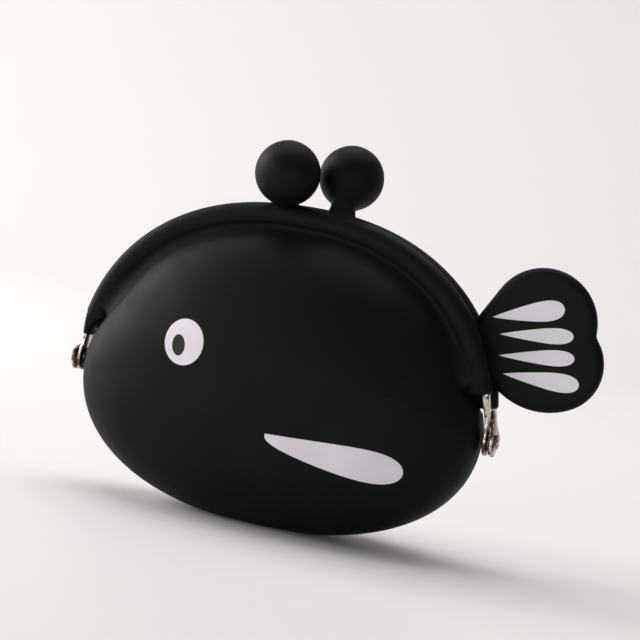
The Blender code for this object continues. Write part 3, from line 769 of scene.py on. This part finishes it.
def tailHalf(x, z):
    # half thickness: T/2 (1 - (1 - d/e)^p)^(1/p) at a distance d from the edge, a little fuller inside
    points = np.stack([np.ravel(x), np.ravel(z)], axis=1)
    away = points[:, None] - tailRim[None, :: tail["spokeStep"]]
    gap = np.sqrt((away**2).sum(-1)).min(axis=1).reshape(np.shape(x))
    power = tail["edgePower"]
    roundOver = (1 - (1 - np.clip(gap / tail["edge"], 0, 1)) ** power) ** (1 / power)
    swell = tail["swell"]
    fuller = 1 - swell + swell * smoothStep(gap, 0, tail["swellRun"])
    return tail["thickness"] / 2 * roundOver * fuller


def addTail(name):
    # rings of the outline drawn in towards its middle, front face then back face
    middle = rim["midGap"] + tail["thickness"] / 2
    turn = (math.pi / 2) * np.arange(1, tail["rows"]) / tail["rows"]
    shares = np.sin(turn)[:, None]
    spokes = np.arange(0, tail["spokes"], tail["spokeStep"])
    x = tail["centreX"] + shares * tailRadii[spokes] * np.cos(tailAngles[spokes])
    z = tail["centreZ"] + shares * tailRadii[spokes] * np.sin(tailAngles[spokes])
    half = tailHalf(x, z)
    rimLine = tailRim[spokes]
    edge = stack(rimLine[None, :, 0], middle, rimLine[None, :, 1])
    grid = np.concatenate([stack(x, middle - half, z), edge, stack(x, middle + half, z)[::-1]])
    full = float(tailHalf(np.array([tail["centreX"]]), np.array([tail["centreZ"]]))[0])
    ends = [[tail["centreX"], middle + s * full, tail["centreZ"]] for s in (-1, 1)]
    return closedGrid(name, grid, blackSilicone, ends)


# White marks


def dropOutline(length, rise, sag, risePower, sagPower, endPower):
    # upper edge rise t^a sqrt(1 - t^n) and lower edge -sag t^b sqrt(1 - t^n), from the tip at t = 0
    steps = marks["dropSteps"]
    t = (1 - np.cos(np.pi * np.arange(steps + 1) / steps)) / 2
    close = np.sqrt(1 - t**endPower)
    upper = np.stack([length * t, rise * t**risePower * close], axis=1)
    lower = np.stack([length * t, -sag * t**sagPower * close], axis=1)
    return np.concatenate([upper, lower[-2:0:-1]])


def ellipseOutline(halfWidth, halfHeight):
    # (a cos t, b sin t)
    turn = 2 * np.pi * np.arange(marks["ellipsePoints"]) / marks["ellipsePoints"]
    return np.stack([halfWidth * np.cos(turn), halfHeight * np.sin(turn)], axis=1)


def placedOutline(points, x, z, slope):
    # turned by the slope, then moved to x and z
    turn = np.array([[math.cos(slope), math.sin(slope)], [-math.sin(slope), math.cos(slope)]])
    return points @ turn + np.array([x, z])


def addMark(name, edge, side, depthAt, middle, material, lift):
    # a thin inlay that follows the skin: its edge rises out of the skin and rounds over
    centre = edge.mean(axis=0)
    ways = centre - edge
    far = np.linalg.norm(ways, axis=1, keepdims=True)
    rows = [(0, -marks["sink"]), (0, -marks["edgeSink"])]
    rows += [(drawIn / far, lift * part) for drawIn, part in marks["edgeRound"]]
    rows += [(share, lift) for share in marks["innerShares"]]
    grid = []
    for share, raised in rows:
        spot = edge + ways * share
        depth = depthAt(spot[:, 0], spot[:, 1]) + raised
        grid.append(stack(spot[:, 0], middle + side * depth, spot[:, 1]))
    depth = float(depthAt(centre[:1], centre[1:])[0])
    ends = [
        [centre[0], middle + side * (depth - marks["sink"]), centre[1]],
        [centre[0], middle + side * (depth + lift), centre[1]],
    ]
    return closedGrid(name, np.stack(grid), material, ends)


# Steel


def roundedBox(place, across, deep, halfWidth, halfDepth, corner):
    # four corners of an arc each, round a section that lies across and deep
    corner = np.minimum(corner, metal["cornerShare"] * np.minimum(halfWidth, halfDepth))
    turn = (np.pi / 2) * np.arange(metal["cornerSteps"] + 1) / metal["cornerSteps"]
    ring = []
    for k, (sx, sy) in enumerate(((1, 1), (-1, 1), (-1, -1), (1, -1))):
        angle = turn + k * np.pi / 2
        u = sx * (halfWidth - corner) + corner * np.cos(angle)
        v = sy * (halfDepth - corner) + corner * np.sin(angle)
        ring.append(place + u[:, None] * across + v[:, None] * deep)
    return np.concatenate(ring)


def legPath(side, earX, end, shares):
    # places, outward directions, half widths and half depths on the bar's leg, from the rim's end
    # down to its ear, on the tail side
    foot, footOut = placeAtAngle(archStart(end), metal["barSideInset"])
    foot = foot + [0, side * sleeveY, 0]
    ear = np.array([earX, 0, -metal["earRadius"] * math.cos(metal["legTop"])])
    pull = metal["legPull"] * np.linalg.norm(ear - foot)
    footWay = np.array([[footOut[2], 0, -footOut[0]]]) * pull
    path = hermite(foot[None], footWay, ear[None], np.array([[0, 0, -pull]]), shares)[:, 0]
    along = np.gradient(path, axis=0)
    outs = unit(np.stack([-along[:, 2], np.zeros(len(along)), along[:, 0]], axis=1))
    thinning = smoothStep(shares, *metal["thinRun"])
    spreading = smoothStep(shares, *metal["spreadRun"])
    earDepth = metal["earRadius"] * math.sin(metal["legTop"])
    halfWidth = metal["barWidth"] / 2 * (1 - thinning) + metal["earThickness"] / 2 * thinning
    halfDepth = metal["barDepth"] / 2 * (1 - spreading) + earDepth * spreading
    return path, outs * np.sign(outs[:, :1]), halfWidth, halfDepth


def addBar(name, side, earX, end):
    # ear, leg, arch, leg and ear as rounded flat sections
    deep = np.array([0, 1.0, 0])
    flat = np.array([1.0, 0, 0])
    sections = []
    for angle in np.linspace(metal["earStart"], metal["legTop"], metal["earRings"])[:-1]:
        spot = np.array([earX, 0, -metal["earRadius"] * math.cos(angle)])
        sections.append((spot, flat, metal["earThickness"] / 2, metal["earRadius"] * math.sin(angle)))
    leg = legPath(side, earX, end, np.linspace(1, 0, metal["legRings"]))
    sections += zip(*(values[:-1] for values in leg))
    corner = metal["corner"]
    rings = [roundedBox(s, out, deep, w, d, corner) for s, out, w, d in sections]
    half = (metal["barWidth"] / 2, metal["barDepth"] / 2)
    start = archStart(end)
    for angle in start + (math.pi - 2 * start) * np.arange(metal["archSteps"] + 1) / metal["archSteps"]:
        place, outward = placeAtAngle(np.array(angle), metal["barSideInset"])
        rings.append(roundedBox(place + [0, side * sleeveY, 0], outward, deep, *half, corner))
    mirror = np.array([-1.0, 1, 1])
    for spot, out, w, d in reversed(sections):
        rings.append(roundedBox(spot * mirror, out * mirror, deep, w, d, corner))
    return closedGrid(name, np.stack(rings), nickel, sharp=metal["barSharp"])


def addTip(name, side, earX, end):
    # the thin tube of the rim that goes on down the bar's leg at the nose, closed round the bar
    rings = rim["tipRings"]
    spread = np.linspace(0, 1, rim["legSamples"])
    heights = legPath(side, earX, end, spread)[0][:, 2]
    last = float(np.interp(-rim["tipEnd"], -heights, spread))
    path, outs, _, _ = legPath(side, earX, end, np.linspace(0, last, rings))
    narrowing = smoothStep(np.arange(rings), 0, rings - 1)[:, None]
    halfWidth, halfDepth = (
        broad + (thin - broad) * narrowing
        for broad, thin in (rim["tipHalfWidths"], rim["tipHalfDepths"])
    )
    turn = 2 * np.pi * np.arange(rim["tipPoints"]) / rim["tipPoints"]
    wide = halfWidth * signedPower(np.cos(turn), 2 / rim["tipPower"])
    deep = halfDepth * signedPower(np.sin(turn), 2 / rim["tipPower"])
    ripple = 1 + rim["tipRipple"] * np.cos(2 * np.pi * np.arange(rings) / rim["tipRippleRings"])
    ripple[-len(rim["tipClosing"]):] *= np.array(rim["tipClosing"])
    section = (wide[..., None] * outs[:, None] + stack(0, deep, 0)) * ripple[:, None, None]
    path = path - rim["tipShift"] * (1 - narrowing) * outs
    grid = path[:, None] + section
    above = grid[:1] + rim["tipRise"] * unit(path[0] - path[1])
    inside = (path[-1] + section[-1] * np.array(rim["tipInside"]))[None]
    grid = np.concatenate([above, grid, inside, inside + [0, 0, rim["tipInsideRise"]]])
    return closedGrid(name, grid * np.array([-1.0, 1, 1]), blackSilicone)


def addTurned(name, profile, hand):
    # (x, radius) pairs turned round the hinge line
    turn = 2 * np.pi * np.arange(metal["turnedPoints"]) / metal["turnedPoints"]
    x, radius = (np.array(values)[:, None] for values in zip(*profile))
    grid = stack(hand * x, radius * np.cos(turn), radius * np.sin(turn))
    return closedGrid(name, grid, nickel, sharp=metal["turnedSharp"])


def rivetProfile():
    # an inner head, the shank, and a domed outer head that starts with a small rounded step
    innerRadius, innerThick = metal["innerHead"]
    outerRadius, outerThick = metal["outerHead"]
    gaps, plates = 4 * metal["pivotGap"], 2 * metal["earThickness"]
    stackEnd = headX + innerThick + gaps + plates + metal["washer"][1]
    shank, power = metal["rivetRadius"], metal["headPower"]
    outer = [
        (stackEnd + outerThick * math.sin(a), outerRadius * math.cos(a) ** power)
        for a in np.linspace(0, metal["headTurn"], metal["outerPoints"])
    ]
    inner = [
        (headX + innerThick * (1 - math.sin(a)), innerRadius * math.cos(a) ** power)
        for a in np.linspace(metal["headTurn"], 0, metal["innerPoints"])
    ]
    return inner + [(headX + innerThick, shank), (stackEnd, shank)] + outer


def washerProfile():
    # a spacer with softly broken edges
    radius, thick = metal["washer"]
    start = headX + metal["innerHead"][1] + 2 * metal["pivotGap"] + metal["earThickness"]
    ease = metal["washerEase"]
    return [
        (start, radius - ease), (start + ease, radius),
        (start + thick - ease, radius), (start + thick, radius - ease),
    ]


# Putting the pieces on their bodies


def bendWith(piece, face):
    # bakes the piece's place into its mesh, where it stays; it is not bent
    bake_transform(piece)


faces = {"front": -1, "back": 1}
ends = {"front": rim["frontEnd"], "back": rim["backEnd"]}
innerEarX = headX + metal["innerHead"][1] + metal["pivotGap"] + metal["earThickness"] / 2
outerEarX = innerEarX + metal["earThickness"] + 2 * metal["pivotGap"] + metal["washer"][1]
ears = {"front": innerEarX, "back": outerEarX}

for face, side in faces.items():
    body = face + "_frame"
    flank = addFlank(face + "_flank", side, ends[face])
    bendWith(flank, face)
    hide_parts("pouch")
    roll = addRim(face + "_rim", side, ends[face])
    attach(roll, body)
    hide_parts(face + "_sleeve")
    ball = addBall(face + "_ball", side)
    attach(ball, body)
    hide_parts(face + "_ball_cover")
    bar = addBar(face + "_bar", side, ears[face], ends[face])
    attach(bar, body)
    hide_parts(face + "_frame_bar")
    if face == "front":
        tip = addTip("front_rim_tip", side, ears[face], ends[face])
        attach(tip, body)
        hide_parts("front_sleeve")
print("stage: flanks, rims, balls and bars")

for face, side in faces.items():
    x, z, halfWidth, halfHeight, slope = marks["eye"]
    eyeEdge = placedOutline(ellipseOutline(halfWidth, halfHeight), x, z, slope)
    eye = addMark(face + "_eye", eyeEdge, side, bellySkin, 0, whiteSilicone, marks["lift"])
    x, z, halfWidth, halfHeight, slope = marks["pupil"]
    pupilEdge = placedOutline(ellipseOutline(halfWidth, halfHeight), x, z, slope)
    pupilLift = marks["lift"] * marks["pupilLift"]
    pupil = addMark(face + "_eye_pupil", pupilEdge, side, bellySkin, 0, pupilSilicone, pupilLift)
    x, z, length, slope = marks["fin"]
    finEdge = dropOutline(length, marks["finRise"], marks["finSag"], *marks["finPowers"])
    finEdge = placedOutline(finEdge, x, z, slope)
    fin = addMark(face + "_fin", finEdge, side, bellySkin, 0, whiteSilicone, marks["lift"])
    for piece, node, slot in (
        (eye, "_eye_white", "white_silicone"),
        (pupil, "_pupil", "black_silicone"),
        (fin, "_pectoral_fin", "white_silicone"),
    ):
        bendWith(piece, face)
        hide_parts(face + node)

tailPiece = addTail("tail")
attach(tailPiece, "back_frame")
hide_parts("tail_fin")
tailMiddle = rim["midGap"] + tail["thickness"] / 2
for index, (tipX, tipZ) in enumerate(marks["stripeTips"]):
    half = marks["stripeHalfWidths"][index] / marks["stripePeak"]
    edge = dropOutline(marks["stripeLengths"][index], half, half, *marks["stripePowers"])
    edge = placedOutline(edge, tipX, tipZ, math.radians(marks["stripeSlopes"][index]))
    for face, side in faces.items():
        stripe = addMark(
            f"{face}_stripe_{index + 1}", edge, side, tailHalf, tailMiddle, whiteSilicone, marks["lift"]
        )
        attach(stripe, "back_frame")
        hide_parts(f"{face}_tail_stripe_{index + 1}")
print("stage: marks and tail")

for end, hand in (("nose", -1), ("tail", 1)):
    for part, profile in (("rivet", rivetProfile()), ("washer", washerProfile())):
        piece = addTurned(f"{end}_{part}_turned", profile, hand)
        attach(piece, "back_frame")
        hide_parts(f"{end}_{part}")
for face in faces:
    for node in ("_clasp_stem", "_clasp_ball"):
        # inside the covers, so only their material changes
        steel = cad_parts[face + node]
        steel.data.materials.clear()
        steel.data.materials.append(nickel)
print("stage: hinges")


# Stage, light and camera

studio = {
    "floorColour": (0.86, 0.835, 0.835),
    "floorRoughness": 0.55,
    "floorSpecular": 0.3,
    "backRow": 0.50,
    "sweepRadius": 0.60,
    "wallTop": 1.1,
    "halfSpan": 1.5,
    "nearRow": -1.3,
    "sweepSteps": 24,
    "worldColour": (1, 0.985, 0.98),
    "worldStrength": 0.16,
}

lamps = {  # place, what it faces, size, power, colour
    "window": ((-1.05, -0.02, 0.40), (0, 0, 0.03), (1.2, 0.7), 16.0, (1, 0.97, 0.95)),
    "ceiling": ((-0.10, 0.20, 0.82), (0, 0, 0), (0.9, 0.7), 4.6, (1, 0.98, 0.97)),
    "fill": ((-0.40, -0.95, 0.12), (0, 0, 0.03), (0.5, 0.4), 1.9, (1, 0.98, 0.98)),
    "card": ((0.40, -0.90, 0.07), (0, 0, 0.01), (0.7, 0.12), 1.5, (1, 0.98, 0.98)),
}


def addSweep():
    # a floor that turns up into a wall through a quarter circle
    turn = np.linspace(0, math.pi / 2, studio["sweepSteps"])
    radius, backRow = studio["sweepRadius"], studio["backRow"]
    y = np.concatenate([[studio["nearRow"]], backRow + radius * np.sin(turn), [backRow + radius]])
    z = np.concatenate([[0], radius * (1 - np.cos(turn)), [studio["wallTop"]]])
    points = np.stack([
        np.stack([np.full_like(y, s * studio["halfSpan"]), y, z], axis=1) for s in (-1, 1)
    ])
    count = len(y)
    first = np.arange(count - 1)
    quads = np.stack([first, first + count, first + count + 1, first + 1], axis=1)
    mesh = bpy.data.meshes.new("sweep")
    mesh.from_pydata(points.reshape(-1, 3).tolist(), [], quads.tolist())
    mesh.shade_smooth()
    sweep = bpy.data.objects.new("sweep", mesh)
    bpy.context.scene.collection.objects.link(sweep)
    material, nodes, links = newMaterial("pale floor")
    shader = nodes["Principled BSDF"]
    shader.inputs["Roughness"].default_value = studio["floorRoughness"]
    shader.inputs["Specular IOR Level"].default_value = studio["floorSpecular"]
    shader.inputs["Base Color"].default_value = (*studio["floorColour"], 1)
    mesh.materials.append(material)


def addLamp(name, place, target, size, power, colour):
    lamp = bpy.data.lights.new(name, "AREA")
    lamp.shape = "RECTANGLE"
    lamp.size, lamp.size_y = size
    lamp.energy = power
    lamp.color = colour
    holder = bpy.data.objects.new(name, lamp)
    holder.location = place
    holder.rotation_euler = (Vector(target) - Vector(place)).to_track_quat("-Z", "Y").to_euler()
    bpy.context.scene.collection.objects.link(holder)


addSweep()
for name, values in lamps.items():
    addLamp(name, *values)
world = bpy.data.worlds.new("studio")
bpy.context.scene.world = world
world.use_nodes = True
background = world.node_tree.nodes["Background"]
background.inputs["Color"].default_value = (*studio["worldColour"], 1)
background.inputs["Strength"].default_value = studio["worldStrength"]

view = {
    "yaw": 0.32379,
    "elevation": 0.09279,
    "roll": 0.17257,
    "distance": 0.52391,
    "target": (0, 0, 0.035),
    "aimRight": 0.0068,
    "aimUp": 0.0078,
    "lens": 141.2,
    "sensorWidth": 36,
    "clip": (0.01, 10),
}


def addCamera():
    # stands where the photograph was taken from, and turned on its side as it was
    yaw, elevation, roll = view["yaw"], view["elevation"], view["roll"]
    back = Vector((
        math.sin(yaw) * math.cos(elevation), -math.cos(yaw) * math.cos(elevation), math.sin(elevation)
    ))
    level = Vector((math.cos(yaw), math.sin(yaw), 0))
    upright = back.cross(level)
    right = math.cos(roll) * level + math.sin(roll) * upright
    up = -math.sin(roll) * level + math.cos(roll) * upright
    eye = Vector(view["target"]) + view["distance"] * back
    aim = Vector(view["target"]) + view["aimRight"] * right + view["aimUp"] * up
    look = (eye - aim).normalized()
    right = up.cross(look).normalized()
    up = look.cross(right)
    data = bpy.data.cameras.new("camera")
    data.sensor_width = view["sensorWidth"]
    data.lens = view["lens"]
    data.clip_start, data.clip_end = view["clip"]
    camera = bpy.data.objects.new("camera", data)
    bpy.context.scene.collection.objects.link(camera)
    camera.matrix_world = Matrix((
        (right.x, up.x, look.x, eye.x),
        (right.y, up.y, look.y, eye.y),
        (right.z, up.z, look.z, eye.z),
        (0, 0, 0, 1),
    ))
    bpy.context.scene.camera = camera


addCamera()
bpy.context.scene.view_settings.view_transform = "Standard"
print("stage: studio")
